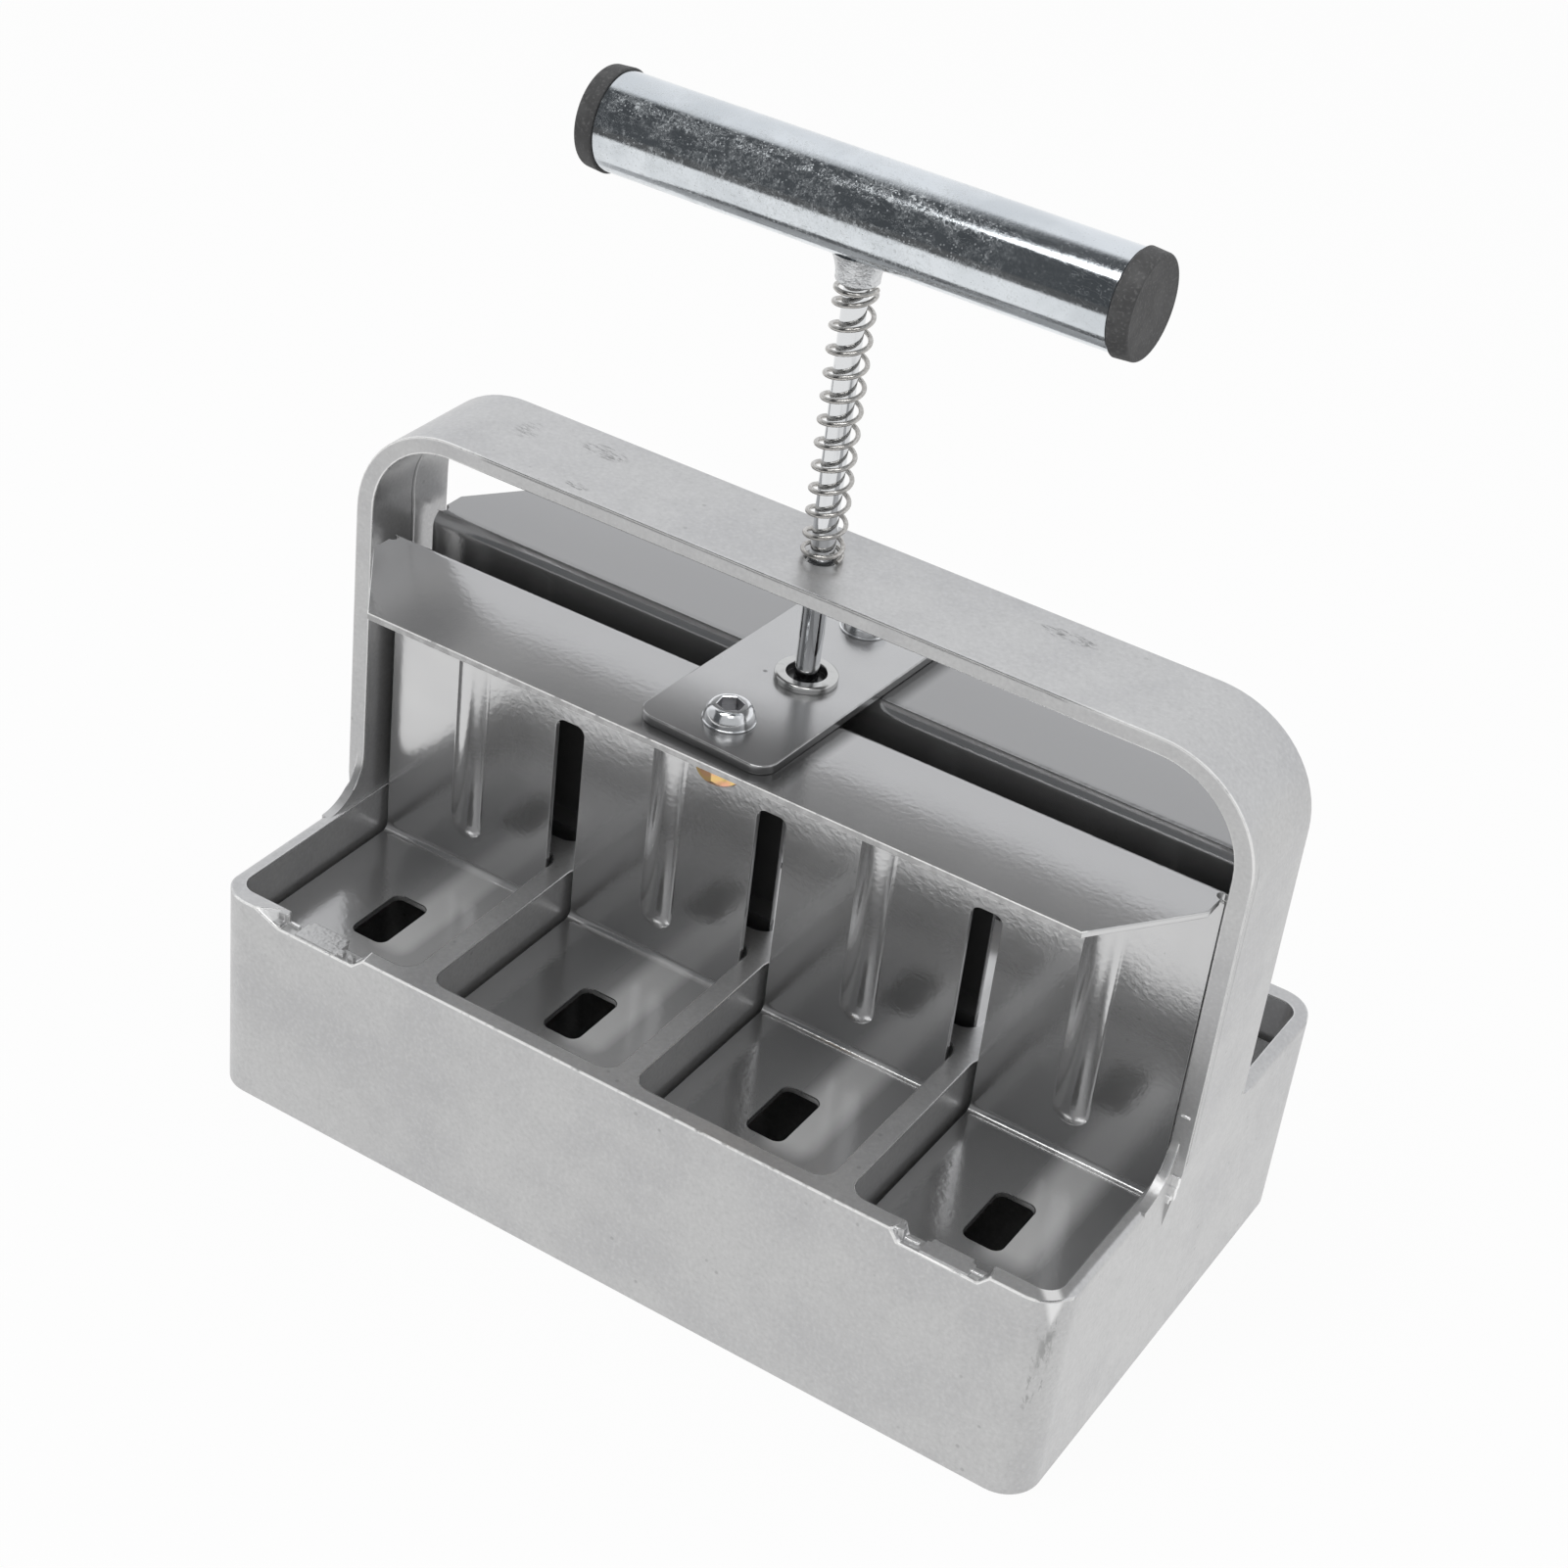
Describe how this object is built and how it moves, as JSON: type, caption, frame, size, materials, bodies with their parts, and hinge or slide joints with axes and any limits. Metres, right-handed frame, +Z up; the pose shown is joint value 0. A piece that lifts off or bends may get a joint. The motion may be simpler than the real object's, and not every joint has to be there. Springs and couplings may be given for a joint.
{
  "type": "soil blocker",
  "caption": "Hand press for soil blocks: a cast mould with cells under a bail, and a sprung plunger with a T handle whose foot plates eject the blocks.",
  "frame": {"origin": "on the floor under the middle of the mould, on the push rod's axis", "axes": "+X along the mould and the handle, to the right as seen from the front; +Y to the rear; +Z up along the push rod"},
  "size_m": [0.218, 0.125, 0.2414],
  "materials": {
    "cast_metal": "silver metallic coating, semi-gloss, slightly uneven as a casting is",
    "sheet_metal": "dark silver coating, semi-gloss, fine orange peel",
    "plate_metal": "dark silver coating, glossy",
    "bright_steel": "bright nickel plate, mirror",
    "yellow_zinc": "yellow passivated zinc, iridescent",
    "spring_wire": "bright drawn wire",
    "zinc_plate": "bluish zinc plate with blotches and fine scratches",
    "black_plastic": "matte black moulded plastic"
  },
  "bodies": {
    "mould": {"mould_body": "cast_metal", "return_spring": "spring_wire"},
    "plunger": {"front_ejector": "sheet_metal", "rear_ejector": "sheet_metal", "cross_plate": "plate_metal", "plate_screws": "bright_steel", "nut_washers": "yellow_zinc", "cap_nuts": "yellow_zinc", "foot_ring": "bright_steel", "push_rod": "bright_steel", "rod_washer": "bright_steel", "rod_nut": "yellow_zinc", "spring_collar": "bright_steel", "handle_tube": "zinc_plate", "left_end_cap": "black_plastic", "right_end_cap": "black_plastic"}
  },
  "joints": [
    {"name": "plunger_slide", "type": "slide", "parent": "mould", "child": "plunger", "axis": [0, 0, -1], "range_m": [0, 0.039], "stiffness_N_per_m": 2000, "springref_m": -0.006, "deforming": ["return_spring"]}
  ]
}
